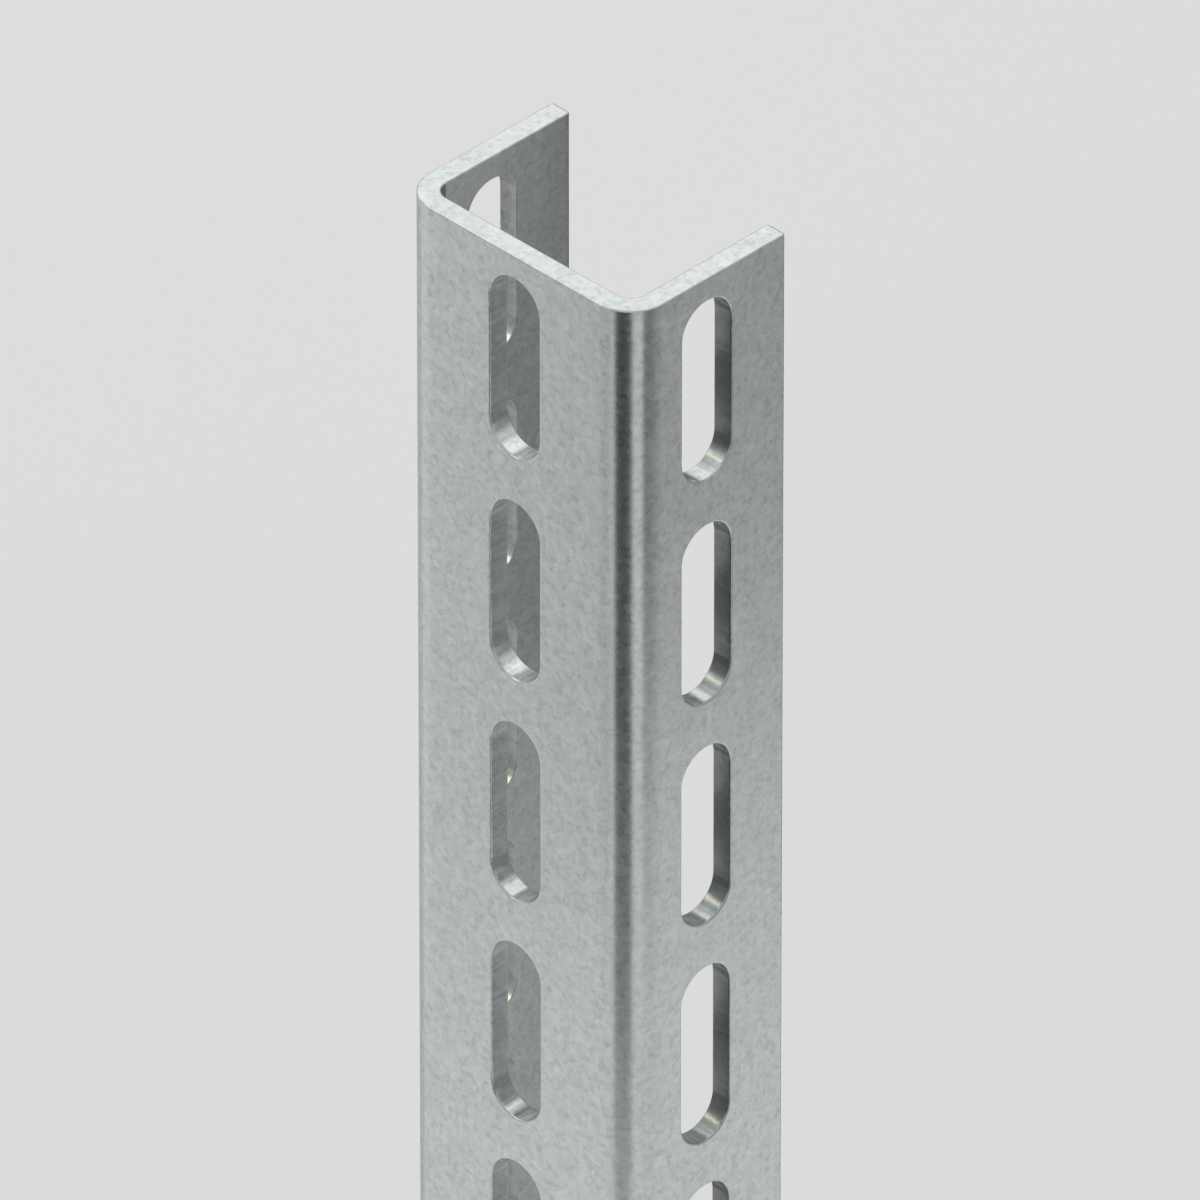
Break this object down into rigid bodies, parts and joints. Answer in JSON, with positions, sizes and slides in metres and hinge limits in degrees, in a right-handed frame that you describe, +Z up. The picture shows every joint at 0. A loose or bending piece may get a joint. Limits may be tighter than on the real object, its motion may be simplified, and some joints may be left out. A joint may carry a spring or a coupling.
{
  "type": "strut channel",
  "caption": "Slotted U-shaped strut channel of galvanised steel with round bends, punched along its web and flanges for bolting supports and brackets.",
  "frame": {"origin": "middle of the rectangle that the lower end fills, on the floor", "axes": "+Z up along the length, +Y from the web's outer face to the open side between the flanges, +X across the web"},
  "size_m": [0.06, 0.04, 0.5],
  "materials": {
    "galvanised_steel": "hot-dip galvanised, matt grey zinc with a soft mottle"
  },
  "bodies": {
    "root": {"channel": "galvanised_steel"}
  },
  "joints": []
}
